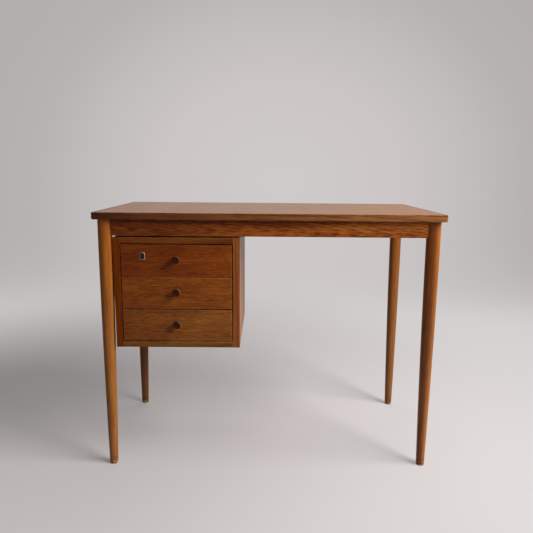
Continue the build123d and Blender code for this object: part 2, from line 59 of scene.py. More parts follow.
# The turn that lays a pattern's length along a board's grain.
GRAIN_TURNS = {"X": (0.0, 0.0, 0.0), "Y": (0.0, 0.0, QUARTER), "Z": (0.0, -QUARTER, 0.0)}

# The patterns in wood: how many to the metre along the grain, how many across it, and their detail.
BENDS = (3.0, 16.0, 16.0)  # the tree's own bends, slow along the grain and quicker across it
BANDS = (1.6, 40.0, 2.0)  # about 25 mm wide
STREAKS = (5.0, 190.0, 2.0)  # about 5 mm wide
FINE_LINES = (14.0, 520.0, 1.0)  # drawn near 2 mm wide, because real ones don't show
PORES_ACROSS = 620.0  # drawn about 1 mm wide, because a third of that doesn't show
BAND_WEIGHT, STREAK_WEIGHT = 0.95, 0.75

# Lines rubbed in metal: how many to the metre on each axis, each ten times as long as it is wide.
RUBBED_ALONG_X = (90.0, 900.0, 900.0)
RUBBED_ALONG_Z = (900.0, 900.0, 90.0)

# The backdrop's painted light, from the desk outwards, in colours that fall off like light on paper;
# both lists end in the colour of far paper.
FLOOR_FALL = ((0.0, "DAD6D6"), (0.5, "CDC8C8"))
WALL_FALL = ((0.0, "D0CBCB"), (0.4, "CBC5C6"), (0.6, "C3BEBE"), (0.8, "B8B3B3"))


def linear(hex_colour):
    """The linear red, green and blue of an sRGB hex colour."""
    parts = [int(hex_colour[i:i + 2], 16) / 255 for i in (0, 2, 4)]
    return tuple(c / 12.92 if c <= 0.04045 else ((c + 0.055) / 1.055) ** 2.4 for c in parts)


def shade(colour, tone=1.0):
    """A linear colour, made lighter or darker by a number or tinted by three, with the alpha of a socket."""
    tint = tone if isinstance(tone, tuple) else (tone, tone, tone)
    return (*(c * t for c, t in zip(tuple(colour)[:3], tint)), 1.0)


def graded(light, dark):
    """A wood's pale, middle and dark colours."""
    return light, [(a + b) / 2 for a, b in zip(light, dark)], dark


def add(tree, kind, links=None, stops=(), **settings):
    """A node with its settings, its inputs set or linked, and a ramp's stops. A node that is given as an
    input stands for the first of its outputs that is in use."""
    node = tree.nodes.new(kind)
    for key, value in settings.items():
        setattr(node, key, value)
    for socket, value in (links or {}).items():
        if isinstance(value, bpy.types.Node):
            value = next(output for output in value.outputs if output.enabled)
        if isinstance(value, bpy.types.NodeSocket):
            tree.links.new(value, node.inputs[socket])
        else:
            node.inputs[socket].default_value = value
    if stops:
        ramp = node.color_ramp.elements
        ramp[0].position, ramp[-1].position = stops[0][0], stops[-1][0]
        ramp[0].color, ramp[-1].color = stops[0][1], stops[-1][1]
        for spot, colour in stops[1:-1]:
            ramp.new(spot).color = colour
    return node


def new_material(name):
    """An empty material, and its tree."""
    made = bpy.data.materials.new(name)
    made.use_nodes = True
    made.node_tree.nodes.clear()
    return made, made.node_tree


def settle(parts, place):
    """Sorts a bmesh's points or faces by where they are, because its operators don't keep to one order."""
    for index, part in enumerate(sorted(parts, key=lambda part: [round(c, 6) for c in place(part)])):
        part.index = index
    parts.sort()


def new_object(name, mesh):
    """An object at the origin that holds a finished bmesh."""
    settle(mesh.verts, lambda vert: vert.co)
    settle(mesh.faces, lambda face: face.calc_center_median())
    data = bpy.data.meshes.new(name)
    mesh.to_mesh(data)
    mesh.free()
    made = bpy.data.objects.new(name, data)
    bpy.context.scene.collection.objects.link(made)
    return made


def points_of(geometry):
    """The vertices among what a bmesh operator gives back."""
    return [part for part in geometry if isinstance(part, bmesh.types.BMVert)]


def dress(node_name, made):
    """Gives a CAD node its finish, in every slot of its object."""
    if node_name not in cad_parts:
        raise RuntimeError(f"there is no piece {node_name}")
    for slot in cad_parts[node_name].material_slots:
        slot.material = made


def middle(node_name):
    """The middle of a CAD node's box."""
    low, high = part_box(node_name)
    return (low + high) / 2


# ---------------------------------------------------------------- what a user would change


def colour_property(label, text, hex_colour):
    """A colour that the sidebar shows, from its sRGB hex value."""
    return FloatVectorProperty(
        name=label, description=text, subtype="COLOR", size=3, min=0.0, max=1.0, default=linear(hex_colour))


class DeskWoods(bpy.types.PropertyGroup):
    """Colours and sizes of the woods."""

    teak_light: colour_property("Teak, pale bands", "Early wood of the oiled teak", "A85C1A")
    teak_mid: colour_property("Teak, body", "Body colour of the oiled teak", "873F0C")
    teak_dark: colour_property("Teak, dark bands", "Late wood of the oiled teak", "521D04")
    leg_light: colour_property("Leg, pale bands", "Early wood of the turned legs", "BE7A30")
    leg_mid: colour_property("Leg, body", "Body colour of the turned legs", "A66426")
    leg_dark: colour_property("Leg, dark bands", "Late wood of the turned legs", "7C4416")
    raw_teak: colour_property("Worn teak", "Dry wood where the oil has worn off an arris", "B98D5C")
    grime: colour_property("Grime", "Dirt rubbed into the feet", "33241A")
    beech_light: colour_property("Beech, pale", "Pale wood of the drawer boxes and rails", "D8B78C")
    beech_dark: colour_property("Beech, flecks", "Ray flecks and bands of the beech", "AD8459")
    ply_light: colour_property("Plywood, pale", "Pale face of the thin plywood", "D3B48A")
    ply_dark: colour_property("Plywood, bands", "Bands of the plywood's face", "B28D60")
    ring_width: FloatProperty(
        name="Growth ring", description="Width of a growth ring across the boards",
        default=4.2 * MM, min=1 * MM, max=20 * MM, unit="LENGTH")
    pore_length: FloatProperty(
        name="Pore length", description="Length of a pore along the grain",
        default=14 * MM, min=2 * MM, max=60 * MM, unit="LENGTH")
    worn_edge: FloatProperty(
        name="Worn edge", description="Width of the rubbed wood along an arris",
        default=1.6 * MM, min=0.0, max=8 * MM, unit="LENGTH")
    scuff_height: FloatProperty(
        name="Scuffed foot", description="Height of the dark scuffs on the feet",
        default=24 * MM, min=0.0, max=80 * MM, unit="LENGTH")


class DeskMetals(bpy.types.PropertyGroup):
    """Colours of the fittings."""

    nickel: colour_property("Nickel", "Rubbed rim of the plate round the keyhole", "C9C2B4")
    # The plate's near-black field is a painted dark reflection.
    tarnish_and_reflection: colour_property("Tarnish", "Tarnished field of the plate round the keyhole", "3A332B")
    steel: colour_property("Steel", "Case of the lock", "8E8C88")
    zinc: colour_property("Zinc", "Plated screws and bolts", "A9A79F")
    brass: colour_property("Brass", "Bolt of the lock", "B8924A")


class DeskStage(bpy.types.PropertyGroup):
    """The studio round the desk."""

    paper: colour_property("Paper", "Backdrop paper", "C9C3C2")
    far_paper: colour_property("Far paper", "What the paper fades to, far from the desk", "B4AFAF")
    lens: FloatProperty(name="Lens", description="Focal length of the camera, in millimetres", default=37.08)
    camera_place: FloatVectorProperty(
        name="Camera", description="Where the camera stands", size=3, subtype="TRANSLATION", unit="LENGTH",
        default=(-0.0144, -1.7110, 0.8524))
    camera_turn: FloatVectorProperty(
        name="Camera turn", description="How far the camera looks down, turns right and leans", size=3,
        subtype="EULER", unit="ROTATION", default=(0.19833, 0.00484, 0.00888))
    camera_shift: FloatProperty(
        name="Camera shift", description="Upward shift of the picture", default=0.0270)
    key_power: FloatProperty(
        name="Key", description="Power of the soft key light", default=78.0, unit="POWER")
    side_power: FloatProperty(
        name="Side", description="Power of the lower light beside it", default=44.0, unit="POWER")
    overhead_power: FloatProperty(
        name="Overhead", description="Power of the overhead light", default=6.0, unit="POWER")
    wall_power: FloatProperty(
        name="Wall", description="Power of the light on the backdrop, which comes back from behind the desk",
        default=24.0, unit="POWER")
    sky: FloatProperty(name="Sky", description="Strength of the even light", default=0.02)


# ---------------------------------------------------------------- places that patterns start from


def distance(tree, where, centre, weights=None):
    """How far a point is from a centre, in metres, with the axes weighed where weights are given."""
    off = add(tree, "ShaderNodeVectorMath", {0: where, 1: centre}, operation="SUBTRACT")
    if weights:
        off = add(tree, "ShaderNodeVectorMath", {0: off, 1: weights}, operation="MULTIPLY")
    return add(tree, "ShaderNodeVectorMath", {0: off}, operation="LENGTH")


def edge_distance(tree, where, node_name):
    """How far a point of a square board is from its nearest arris, in metres: the middle of three depths."""
    low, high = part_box(node_name)
    off = add(tree, "ShaderNodeMapping", {"Vector": where, "Location": (low + high) / 2},
              vector_type="TEXTURE")
    folded = add(tree, "ShaderNodeVectorMath", {0: off}, operation="ABSOLUTE")
    depths = add(tree, "ShaderNodeVectorMath", {0: (high - low) / 2, 1: folded}, operation="SUBTRACT")
    xyz = add(tree, "ShaderNodeSeparateXYZ", {0: depths}).outputs
    least = most = total = xyz["X"]
    for depth in (xyz["Y"], xyz["Z"]):
        least = add(tree, "ShaderNodeMath", {0: least, 1: depth}, operation="MINIMUM")
        most = add(tree, "ShaderNodeMath", {0: most, 1: depth}, operation="MAXIMUM")
        total = add(tree, "ShaderNodeMath", {0: total, 1: depth}, operation="ADD")
    without = add(tree, "ShaderNodeMath", {0: total, 1: least}, operation="SUBTRACT")
    return add(tree, "ShaderNodeMath", {0: without, 1: most}, operation="SUBTRACT")


def rim_distance(tree, where, node_name):
    """How far a point of a piece turned about Y is inside its widest rim, in metres."""
    low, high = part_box(node_name)
    off = add(tree, "ShaderNodeMapping", {"Vector": where, "Location": (low + high) / 2},
              vector_type="TEXTURE")
    off = add(tree, "ShaderNodeVectorMath", {0: off, 1: (1.0, 0.0, 1.0)}, operation="MULTIPLY")
    off = add(tree, "ShaderNodeVectorMath", {0: off}, operation="LENGTH")
    return add(tree, "ShaderNodeMath", {0: (high.x - low.x) / 2, 1: off}, operation="SUBTRACT")


# ---------------------------------------------------------------- woods


class Drift(NamedTuple):
    """How a wood's colour changes along an axis: the tint at each place, and how far the places wander."""

    axis: str
    tints: tuple
    wander: float


def grain_place(tree, where, along, centre, turn, leaf, wobble):
    """Where a point of a board lay in its tree, with X up the trunk, and the trunk's bends straightened."""
    laid = add(tree, "ShaderNodeMapping", {
        "Vector": where, "Location": centre, "Rotation": [a + b for a, b in zip(GRAIN_TURNS[along], turn)],
    }, vector_type="TEXTURE")
    if leaf:  # book-matched veneer: every other leaf is the mirror of its neighbour
        xyz = add(tree, "ShaderNodeSeparateXYZ", {0: laid}).outputs
        opened = add(tree, "ShaderNodeMath", {0: xyz["Y"], 1: leaf}, operation="PINGPONG")
        laid = add(tree, "ShaderNodeCombineXYZ", {0: xyz["X"], 1: opened, 2: xyz["Z"]})
    slow = add(tree, "ShaderNodeMapping", {"Vector": laid, "Scale": BENDS})
    bend = add(tree, "ShaderNodeTexNoise", {"Vector": slow, "Scale": 1.0, "Detail": 2.0, "Roughness": 0.45})
    centred = add(tree, "ShaderNodeVectorMath", {0: bend.outputs["Color"], 1: (0.5, 0.5, 0.5)},
                  operation="SUBTRACT")
    return add(tree, "ShaderNodeVectorMath", {0: centred, 1: (0.0, 2 * wobble, 2 * wobble), 2: laid},
               operation="MULTIPLY_ADD")


def growth_rings(tree, grain, heart, ring):
    """Rings round the heart of the tree. Each starts pale, darkens slowly, and ends in a dark line."""
    off_heart = add(tree, "ShaderNodeVectorMath", {0: grain, 1: heart}, operation="SUBTRACT")
    grown = add(tree, "ShaderNodeTexWave", {
        "Vector": off_heart, "Scale": 2 * math.pi / (20 * ring), "Distortion": 2.2, "Detail": 2.0,
        "Detail Scale": 0.35 * ring / MM * 0.05, "Detail Roughness": 0.5,
    }, wave_type="RINGS", rings_direction="X", wave_profile="SAW")
    return add(tree, "ShaderNodeValToRGB", {0: grown.outputs["Fac"]}, stops=[
        (spot, (grey, grey, grey, 1.0))
        for spot, grey in ((0.0, 0.45), (0.16, 0.92), (0.6, 0.62), (0.93, 0.1), (1.0, 0.35))])


def grain_streaks(tree, grain, short):
    """Bands, streaks and fine lines along the grain."""
    streaks = []
    for lengthwise, across, detail in (BANDS, STREAKS, FINE_LINES):
        drawn = add(tree, "ShaderNodeMapping", {
            "Vector": grain, "Scale": (short * lengthwise, across, across)})
        streaks.append(add(tree, "ShaderNodeTexNoise", {
            "Vector": drawn, "Scale": 1.0, "Detail": detail, "Roughness": 0.55}))
    return streaks


def open_pores(tree, grain, pore_length, depth):
    """Open pores: dark dashes along the grain."""
    dash = add(tree, "ShaderNodeMapping", {
        "Vector": grain, "Scale": (0.5 / pore_length, PORES_ACROSS, PORES_ACROSS)})
    pore = add(tree, "ShaderNodeTexNoise", {"Vector": dash, "Scale": 1.0, "Detail": 1.0, "Roughness": 0.6})
    return add(tree, "ShaderNodeMapRange", {
        "Value": pore, "From Min": 0.58, "From Max": 0.72, "To Min": 0.0, "To Max": depth})


def drifted(tree, where, painted, drift):
    """Wood tinted darker in one place and paler in another, in wandering patches of about 100 mm; some tints
    are the wood's own colour, some are painted light and shade.
    """
    patch = add(tree, "ShaderNodeTexNoise", {"Vector": where, "Scale": 9.0, "Detail": 2.0, "Roughness": 0.5})
    spot = add(tree, "ShaderNodeSeparateXYZ", {0: where}).outputs[drift.axis]
    spot = add(tree, "ShaderNodeMath", {0: patch, 1: drift.wander, 2: spot}, operation="MULTIPLY_ADD")
    tint = shade(drift.tints[0][1])
    for (from_spot, _), (to_spot, to_tint) in zip(drift.tints, drift.tints[1:]):
        share = add(tree, "ShaderNodeMapRange", {
            "Value": spot, "From Min": from_spot + drift.wander / 2, "From Max": to_spot + drift.wander / 2})
        tint = add(tree, "ShaderNodeMix", {"Factor": share, "A": tint, "B": shade(to_tint)}, data_type="RGBA")
    return add(tree, "ShaderNodeMix", {"Factor": 1.0, "A": painted, "B": tint},
               data_type="RGBA", blend_type="MULTIPLY")


def rubbed_arris(tree, where, painted, dullness, near, width, colour):
    """The oil has rubbed off along the arrises, here more and there less, and left the wood pale and dry."""
    patch = add(tree, "ShaderNodeTexNoise", {"Vector": where, "Scale": 60.0, "Detail": 3.0, "Roughness": 0.6})
    reach = add(tree, "ShaderNodeMath", {0: patch, 1: 3.2 * width, 2: -width}, operation="MULTIPLY_ADD")
    reach = add(tree, "ShaderNodeMath", {0: reach, 1: 0.1 * MM}, operation="MAXIMUM")
    rubbed = add(tree, "ShaderNodeMapRange", {
        "Value": near, "From Min": 0.0, "From Max": reach, "To Min": 0.42, "To Max": 0.0})
    painted = add(tree, "ShaderNodeMix", {"Factor": rubbed, "A": painted, "B": colour}, data_type="RGBA")
    dullness = add(tree, "ShaderNodeMath", {0: rubbed, 1: 0.3, 2: dullness}, operation="MULTIPLY_ADD")
    return painted, dullness


def painted_corner_shade(tree, where, painted, level, reach, colour):
    """Painted shade in the corner under an overhang: the wood is painted darker towards its top edge."""
    height = add(tree, "ShaderNodeSeparateXYZ", {0: where}).outputs["Z"]
    corner_shade = add(tree, "ShaderNodeMapRange", {
        "Value": height, "From Min": level - reach, "From Max": level, "To Min": 0.0, "To Max": 0.8})
    corner_shade = add(tree, "ShaderNodeMath", {0: corner_shade, 1: 1.7}, operation="POWER")
    return add(tree, "ShaderNodeMix", {"Factor": corner_shade, "A": painted, "B": colour}, data_type="RGBA")


def scuffed_foot(tree, where, painted, dullness, foot, grime, raw):
    """Dirt rubbed into the foot of a leg, and its rim chipped to the dry wood, in chips of 3 to 6 mm."""
    height = add(tree, "ShaderNodeSeparateXYZ", {0: where}).outputs["Z"]
    patch = add(tree, "ShaderNodeTexNoise", {
        "Vector": where, "Scale": 120.0, "Detail": 4.0, "Roughness": 0.65})
    ragged = add(tree, "ShaderNodeMath", {0: patch, 1: -1.5 * foot, 2: height}, operation="MULTIPLY_ADD")
    dirty = add(tree, "ShaderNodeMapRange", {
        "Value": ragged, "From Min": -0.55 * foot, "From Max": 0.35 * foot, "To Min": 0.5, "To Max": 0.0})
    painted = add(tree, "ShaderNodeMix", {"Factor": dirty, "A": painted, "B": grime}, data_type="RGBA")
    dullness = add(tree, "ShaderNodeMath", {0: dirty, 1: 0.35, 2: dullness}, operation="MULTIPLY_ADD")
    chip = add(tree, "ShaderNodeTexNoise", {"Vector": where, "Scale": 170.0, "Detail": 1.0, "Roughness": 0.5})
    chip = add(tree, "ShaderNodeMapRange", {"Value": chip, "From Min": 0.5, "From Max": 0.55})
    rim = add(tree, "ShaderNodeMapRange", {
        "Value": height, "From Min": 0.3 * foot, "From Max": 0.6 * foot, "To Min": 0.8, "To Max": 0.0})
    chip = add(tree, "ShaderNodeMath", {0: chip, 1: rim}, operation="MULTIPLY")
    painted = add(tree, "ShaderNodeMix", {"Factor": chip, "A": painted, "B": raw}, data_type="RGBA")
    return painted, dullness


def wood(node_name, finish, colours, along, *, ring, pore_length, cut=(0.0, 0.0, 0.0),
         heart=(0.0, 0.09, 0.03), turn=(0.0, 0.0, 0.0), leaf=0.0, wobble=7 * MM, contrast=1.0, rings=0.5,
         fine=0.45, short=1.0, pores=0.55, gloss=0.42, sheen=0.18, tone=1.0, drifts=(), near_edge=None,
         worn_width=0.0, worn_tone=None, corner=0.0, foot=0.0):
    """Sawn or sliced wood. Its growth rings lie round a heart that is outside the board, so that each face
    shows the arches or the straight lines of its own cut, with long streaks, dark pores and a dull sheen.

    How it was cut: along is the axis of its grain, cut, heart and turn place it in its tree, and leaf is
    how wide a leaf of veneer is. How it grew: ring and pore_length are sizes, wobble is how far it bends,
    contrast weighs the whole figure, rings, fine and pores its parts, and short is how short its streaks
    are. How it looks now: gloss is its roughness, sheen its reflection, tone and drifts its colour, with
    painted light and shade in some of them, near_edge finds its arrises, which are rubbed worn_width deep
    and tinted by worn_tone, corner is how far down painted shade reaches, and foot how high scuffs reach.
    """
    woods = bpy.context.scene.desk_woods
    light, mid, dark = colours
    made, tree = new_material(f"{finish}_{node_name}")
    where = add(tree, "ShaderNodeTexCoord").outputs["Object"]
    grain = grain_place(tree, where, along, middle(node_name) + Vector(cut), turn, leaf, wobble)
    streaks = grain_streaks(tree, grain, short)
    ring_tone = growth_rings(tree, grain, heart, ring)
    share = rings * contrast
    figure = add(tree, "ShaderNodeMath", {0: ring_tone, 1: share, 2: 0.5 - share / 2},
                 operation="MULTIPLY_ADD")
    for streak, weight in zip(streaks, (BAND_WEIGHT, STREAK_WEIGHT, fine)):
        share = weight * contrast
        lifted = add(tree, "ShaderNodeMath", {0: streak, 1: share, 2: -share / 2}, operation="MULTIPLY_ADD")
        figure = add(tree, "ShaderNodeMath", {0: figure, 1: lifted}, operation="ADD")
    painted = add(tree, "ShaderNodeValToRGB", {0: figure}, stops=(
        (0.08, shade(dark, tone)), (0.5, shade(mid, tone)), (0.92, shade(light, tone))))
    pore = open_pores(tree, grain, pore_length, pores)
    painted = add(tree, "ShaderNodeMix", {"Factor": pore, "A": painted, "B": shade(shade(dark, tone), 0.5)},
                  data_type="RGBA")
    for drift in drifts:
        painted = drifted(tree, where, painted, drift)
    dullness = add(tree, "ShaderNodeMapRange", {
        "Value": streaks[0], "From Min": 0.3, "From Max": 0.7,
        "To Min": gloss - 0.07, "To Max": gloss + 0.09})
    if near_edge:
        painted, dullness = rubbed_arris(tree, where, painted, dullness, near_edge(tree, where, node_name),
                                         worn_width, shade(woods.raw_teak, worn_tone or tone))
    if corner:
        painted = painted_corner_shade(tree, where, painted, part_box(node_name)[1].z, corner, shade(dark, 0.2))
    if foot:
        painted, dullness = scuffed_foot(tree, where, painted, dullness, foot, shade(woods.grime),
                                         shade(woods.raw_teak))
    relief = add(tree, "ShaderNodeMath", {0: pore, 1: -1.0, 2: figure}, operation="MULTIPLY_ADD")
    bump = add(tree, "ShaderNodeBump", {"Height": relief, "Strength": 0.35, "Distance": 0.25 * MM})
    shader = add(tree, "ShaderNodeBsdfPrincipled", {
        "Base Color": painted, "Roughness": dullness, "IOR": 1.47, "Specular IOR Level": sheen,
        "Normal": bump})
    add(tree, "ShaderNodeOutputMaterial", {"Surface": shader})
    dress(node_name, made)


def teak(node_name, along, **look):
    """Oiled teak, sliced or sawn: warm red-brown bands, dark pores, and dry pale wood on rubbed arrises."""
    woods = bpy.context.scene.desk_woods
    look = {"ring": woods.ring_width, "near_edge": edge_distance, "worn_width": woods.worn_edge, **look}
    wood(node_name, "oiled_teak", (woods.teak_light, woods.teak_mid, woods.teak_dark), along,
         pore_length=woods.pore_length, **look)


def beech(node_name, along, **look):
    """Plain beech, planed and left bare: pale, close-grained, with short dark flecks and hardly a sheen."""
    woods = bpy.context.scene.desk_woods
    wood(node_name, "planed_beech", graded(woods.beech_light, woods.beech_dark), along, ring=3.4 * MM,
         wobble=4 * MM, contrast=0.75, pores=0.22, pore_length=5 * MM, gloss=0.62, **look)


def plywood(node_name, along, **look):
    """Rotary-cut plywood: wide wandering bands in a pale dry face."""
    woods = bpy.context.scene.desk_woods
    wood(node_name, "birch_plywood", graded(woods.ply_light, woods.ply_dark), along, ring=11 * MM,
         wobble=16 * MM, contrast=0.7, pores=0.12, pore_length=9 * MM, gloss=0.66, **look)


# ---------------------------------------------------------------- metals


def metal(name, colour, tarnish_and_reflection, rough, lines):
    """Drawn or plated metal: a bright body, fine rubbed lines, and patches of about 5 mm gone dull."""
    made, tree = new_material(name)
    where = add(tree, "ShaderNodeTexCoord").outputs["Object"]
    patch = add(tree, "ShaderNodeTexNoise", {
        "Vector": where, "Scale": 180.0, "Detail": 4.0, "Roughness": 0.6})
    rubbed = add(tree, "ShaderNodeMapping", {"Vector": where, "Scale": lines})
    line = add(tree, "ShaderNodeTexNoise", {"Vector": rubbed, "Scale": 1.0, "Detail": 2.0})
    dull = add(tree, "ShaderNodeMapRange", {
        "Value": patch, "From Min": 0.5, "From Max": 0.72, "To Min": 0.0, "To Max": 0.75})
    painted = add(tree, "ShaderNodeMix", {"Factor": dull, "A": shade(colour), "B": shade(colour, tarnish_and_reflection)},
                  data_type="RGBA")
    dullness = add(tree, "ShaderNodeMath", {0: line, 1: 0.16, 2: rough - 0.08}, operation="MULTIPLY_ADD")
    dullness = add(tree, "ShaderNodeMath", {0: dull, 1: 0.25, 2: dullness}, operation="MULTIPLY_ADD")
    bump = add(tree, "ShaderNodeBump", {"Height": line, "Strength": 0.2, "Distance": 0.05 * MM})
    shader = add(tree, "ShaderNodeBsdfPrincipled", {
        "Base Color": painted, "Metallic": 1.0, "Roughness": dullness, "Normal": bump})
    add(tree, "ShaderNodeOutputMaterial", {"Surface": shader})
    return made


def plated(name, low, high, colour, field, rough):
    """Nickel plate on an arched fitting: a painted dark reflection on its flat field, its rim rubbed bright.
    """
    made, tree = new_material(name)
    radius = (high.x - low.x) / 2
    where = add(tree, "ShaderNodeTexCoord").outputs["Object"]
    arch = add(tree, "ShaderNodeMapping", {
        "Vector": where, "Location": ((low.x + high.x) / 2, 0.0, high.z - radius)}, vector_type="TEXTURE")
    xyz = add(tree, "ShaderNodeSeparateXYZ", {0: arch}).outputs
    above = add(tree, "ShaderNodeMath", {0: xyz["Z"], 1: 0.0}, operation="MAXIMUM")
    off = add(tree, "ShaderNodeCombineXYZ", {0: xyz["X"], 2: above})
    off = add(tree, "ShaderNodeVectorMath", {0: off}, operation="LENGTH")
    from_side = add(tree, "ShaderNodeMath", {0: radius, 1: off}, operation="SUBTRACT")
    from_foot = add(tree, "ShaderNodeMath", {0: xyz["Z"], 1: high.z - low.z - radius})
    depth = add(tree, "ShaderNodeMath", {0: from_side, 1: from_foot}, operation="MINIMUM")
    patch = add(tree, "ShaderNodeTexNoise", {
        "Vector": where, "Scale": 400.0, "Detail": 3.0, "Roughness": 0.6})
    ragged = add(tree, "ShaderNodeMath", {0: patch, 1: 1.6 * MM, 2: depth}, operation="MULTIPLY_ADD")
    rubbed = add(tree, "ShaderNodeMapRange", {
        "Value": ragged, "From Min": 2.0 * MM, "From Max": 2.6 * MM, "To Min": 1.0, "To Max": 0.0})
    # the rim is painted brighter on its right side, the side the light falls on
    painted_light_side = add(tree, "ShaderNodeMapRange", {
        "Value": xyz["X"], "From Min": -radius, "From Max": 0.5 * radius, "To Min": 0.3, "To Max": 1.0})
    bright = add(tree, "ShaderNodeMath", {0: rubbed, 1: painted_light_side}, operation="MULTIPLY")
    painted = add(tree, "ShaderNodeMix", {"Factor": bright, "A": shade(field), "B": shade(colour)},
                  data_type="RGBA")
    dullness = add(tree, "ShaderNodeMath", {0: rubbed, 1: -0.3, 2: rough + 0.3}, operation="MULTIPLY_ADD")
    bump = add(tree, "ShaderNodeBump", {"Height": patch, "Strength": 0.2, "Distance": 0.05 * MM})
    shader = add(tree, "ShaderNodeBsdfPrincipled", {
        "Base Color": painted, "Metallic": 1.0, "Roughness": dullness, "Normal": bump})
    add(tree, "ShaderNodeOutputMaterial", {"Surface": shader})
    return made


# ---------------------------------------------------------------- operators, one for each group of pieces


class DESK_OT_top(bpy.types.Operator):
    """Finish the top: book-matched veneer and the solid lippings round it"""

    bl_idname = "desk.finish_top"
    bl_label = "Finish the top"

    def execute(self, context):
        low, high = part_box("top_core")
        leaf = (high.y - low.y) / 4
        teak("top_core", "X", leaf=leaf, heart=(0.0, 0.05, 0.08), turn=(0.0, 0.035, 0.012), contrast=0.8,
             fine=0.9, tone=(1.05, 1.62, 1.55), gloss=0.3, sheen=0.5)
        # The front lipping is much darker at its left end, and paler and greyer at its right.
        tint_along_x = Drift("X", ((-0.46, (0.18, 0.18, 0.4)), (-0.4, (0.27, 0.27, 0.6)),
                               (0.0, (0.56, 0.74, 1.7)), (0.42, (0.77, 1.2, 3.4))), 0.2)
        # Its wide rubbed arrises are partly wear and partly a painted highlight along its rounded lower edge.
        teak("top_lipping_front", "X", heart=(0.1, 0.03, 0.05), turn=(0.0, 0.05, 0.02), ring=3 * MM,
             contrast=1.15, fine=0.9, worn_width=2.4 * MM, drifts=[tint_along_x])
        teak("top_lipping_back", "X", heart=(0.4, 0.05, 0.03), turn=(0.0, 0.02, 0.02), tone=0.9)
        teak("top_lipping_left", "Y", heart=(0.2, 0.04, 0.04), tone=(0.5, 0.55, 0.9))
        teak("top_lipping_right", "Y", heart=(0.7, 0.05, 0.02), tone=(0.8, 1.3, 2.4))
        return {"FINISHED"}


class DESK_OT_frame(bpy.types.Operator):
    """Finish the aprons, corner blocks and rails under the top, with their bolts and screws"""

    bl_idname = "desk.finish_frame"
    bl_label = "Finish the frame"

    def execute(self, context):
        # The front apron is redder at its left end and paler at its right, partly its own colour and partly
        # painted light that falls off towards the left. Painted shade darkens its top, under the overhang.
        tint_along_x = Drift("X", ((-0.4, (0.6, 0.54, 0.42)), (0.02, (0.84, 0.82, 1.0)),
                               (0.4, (1.27, 1.55, 2.2))), 0.2)
        teak("apron_front", "X", cut=(0.15, 0.0, 0.0), heart=(0.0, 0.035, -0.012), turn=(0.0, 0.02, 0.06),
             ring=3.4 * MM, wobble=8 * MM, contrast=1.25, rings=0.32, fine=1.3, short=1.6, drifts=[tint_along_x],
             corner=12 * MM)
        teak("apron_back", "X", heart=(0.0, 0.03, 0.02), turn=(0.0, 0.03, 0.05), ring=6 * MM)
        teak("apron_left", "Y", heart=(0.0, 0.05, 0.02), turn=(0.02, 0.0, 0.04), ring=6 * MM)
        teak("apron_right", "Y", heart=(0.0, 0.05, -0.02), turn=(0.02, 0.0, 0.05), ring=6 * MM)
        for side in ("front_left", "front_right", "back_left", "back_right"):
            beech(f"corner_block_{side}", "X", heart=(0.0, 0.06, 0.04))
        for side in ("left", "right"):
            beech(f"hanger_rail_{side}", "Y", heart=(0.0, 0.04, 0.05))
        beech("hanger_spacers", "Y", heart=(0.0, 0.03, 0.04))
        # Zinc-plated steel: a cool pale grey with a soft gleam, gone dull in patches.
        zinc = metal("zinc_plated_steel", context.scene.desk_metals.zinc, 0.6, 0.38, RUBBED_ALONG_Z)
        for place in ("top", "hanger", "runner", "drawer_1", "drawer_2", "drawer_3"):
            dress(f"{place}_screws", zinc)
        dress("leg_bolts", zinc)
        return {"FINISHED"}


class DESK_OT_legs(bpy.types.Operator):
    """Finish the four turned legs, with the scuffs on their feet"""

    bl_idname = "desk.finish_legs"
    bl_label = "Finish the legs"

    def execute(self, context):
        woods = context.scene.desk_woods
        # Teak turned on a lathe and oiled: straight grain that runs off the taper in long points, and a low
        # sheen. Each leg is cut from its own plank: the heart of its tree, its colour, how golden and light
        # the painted light makes it near its top, and how pale and blue painted light makes it near its foot.
        planks = {
            "front_left": ((0.0, 0.05, 0.02), (0.74, 0.71, 0.8), 1.1, 1.03),
            "front_right": ((0.0, 0.03, -0.04), (0.5, 0.46, 0.66), 1.25, 1.35),
            # the back left leg's darker colour is partly a painted shadow of the drawer case
            "back_left": ((0.0, -0.02, 0.05), (0.47, 0.45, 0.76), 1.0, 1.03),
            "back_right": ((0.0, 0.045, 0.03), (0.54, 0.53, 0.69), 0.92, 1.03),
        }
        for side, (heart, tone, painted_top_light, dry) in planks.items():
            drifts = [Drift("Z", ((0.16, (dry, 1.11 * dry, 1.28 * dry)), (0.42, (1.0, 1.0, 1.0)),
                                  (0.68, (painted_top_light, 0.9 * painted_top_light, 0.5 * painted_top_light))), 0.1)]
            if side == "front_right":  # a darker vein down its front, and a painted highlight on its right side
                x = middle("leg_front_right").x
                drifts.append(Drift("X", (
                    (x - 12 * MM, (1.0, 0.95, 0.9)), (x - 2 * MM, (0.6, 0.53, 0.56)),
                    (x + 4 * MM, (0.85, 0.8, 0.8)), (x + 15 * MM, (1.3, 1.42, 1.0))), 5 * MM))
            wood(f"leg_{side}", "turned_teak", (woods.leg_light, woods.leg_mid, woods.leg_dark), "Z",
                 heart=heart, turn=(0.0, 0.01, 0.012), ring=4.5 * MM, wobble=5 * MM, contrast=0.55, fine=0.9,
                 short=2.0, pores=0.35, pore_length=18 * MM, gloss=0.4, tone=tone, drifts=drifts,
                 foot=woods.scuff_height)
        return {"FINISHED"}


